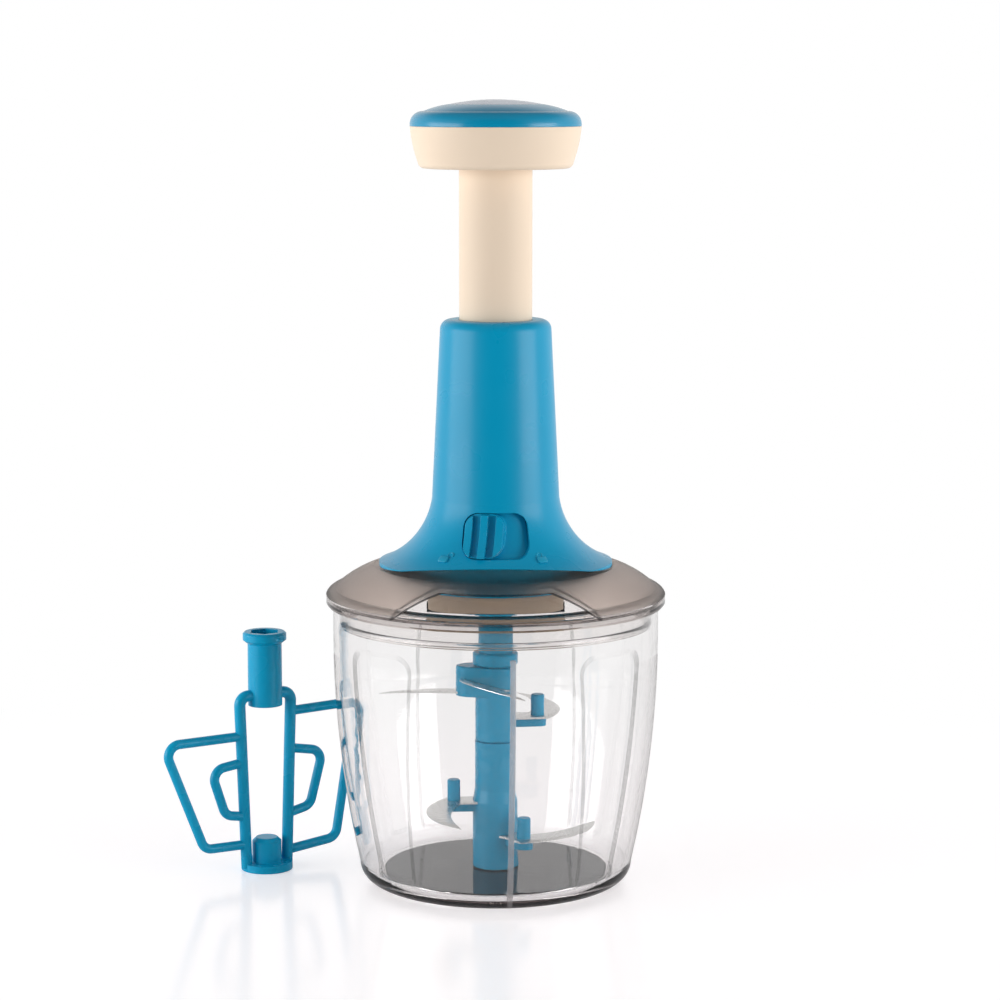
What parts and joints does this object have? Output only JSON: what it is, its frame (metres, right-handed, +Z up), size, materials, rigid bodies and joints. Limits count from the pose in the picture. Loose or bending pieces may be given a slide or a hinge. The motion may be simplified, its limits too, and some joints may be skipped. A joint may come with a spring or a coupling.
{
  "type": "plunger food chopper",
  "caption": "Push-down food chopper with a clear bowl, smoke lid, blue drive tower, cream plunger and knob, steel blade unit and a separate beater.",
  "frame": {"origin": "centre of the bowl's anti-slip foot, on the chopper's axis", "axes": "+Z up along the plunger; -Y is the front with the lock slider and the lid window; the beater stands at -X"},
  "size_m": [0.2084, 0.1408, 0.3248],
  "materials": {
    "clear_plastic": "clear polished plastic",
    "smoke_plastic": "frosted smoke-grey plastic",
    "blue_plastic": "satin moulded",
    "cream_plastic": "satin moulded",
    "white_plastic": "low-friction bearing plastic",
    "dark_plastic": "satin moulded",
    "grey_plastic": "gloss",
    "silicone": "soft translucent silicone",
    "dark_rubber": "soft non-slip rubber",
    "steel": "ground stainless steel"
  },
  "bodies": {
    "base": {"bowl": "clear_plastic", "anti_slip_base": "dark_rubber", "blade_pin": "steel"},
    "blades": {"lower_blade_stem": "blue_plastic", "upper_blade_stem": "blue_plastic", "upper_side_blade": "steel", "lower_side_blade": "steel", "bottom_blade": "steel", "top_left_blade": "steel", "top_front_blade": "steel"},
    "lid": {"lid_dome": "smoke_plastic", "lid_gasket": "silicone", "tower": "blue_plastic", "clamp_ring": "blue_plastic", "guide_bush": "white_plastic", "drive_housing": "cream_plastic", "spindle_bush": "white_plastic", "cover_plate": "dark_plastic", "cover_screws": "steel", "return_spring": "steel"},
    "lock": {"lock_slider": "blue_plastic"},
    "plunger": {"plunger_tube": "cream_plastic", "drive_nut": "white_plastic", "nut_retainer": "steel", "knob_body": "cream_plastic", "knob_screws": "steel", "knob_cap": "blue_plastic", "knob_inlay": "grey_plastic"},
    "spindle": {"twisted_spindle": "steel", "cross_pin": "steel", "drive_shaft": "blue_plastic"},
    "beater": {"beater": "blue_plastic"}
  },
  "joints": [
    {"name": "lid_lift", "type": "slide", "parent": "base", "child": "lid", "axis": [0, 0, 1], "range_m": [0, 0.06]},
    {"name": "plunger_press", "type": "slide", "parent": "lid", "child": "plunger", "axis": [0, 0, -1], "range_m": [0, 0.06], "stiffness_N_per_m": 180, "springref_m": -0.05, "deforming": ["return_spring"]},
    {"name": "spindle_turn", "type": "hinge", "parent": "lid", "child": "spindle", "pos_m": [0, 0, 0.12], "axis": [0, 0, 1], "range_deg": [0, 540]},
    {"name": "blade_turn", "type": "hinge", "parent": "base", "child": "blades", "pos_m": [0, 0, 0.02], "axis": [0, 0, 1], "range_deg": [0, 540]},
    {"name": "lock_turn", "type": "hinge", "parent": "lid", "child": "lock", "pos_m": [0, 0, 0.15], "axis": [0, 0, 1], "range_deg": [0, 18.6]},
    {"name": "beater_lift", "type": "slide", "parent": "base", "child": "beater", "axis": [0, 0, 1], "range_m": [0, 0.04]}
  ],
  "couplings": [
    {"joint": "spindle_turn", "follows": "plunger_press", "rad_per_m": 157.08},
    {"joint": "blade_turn", "follows": "plunger_press", "rad_per_m": 157.08}
  ]
}
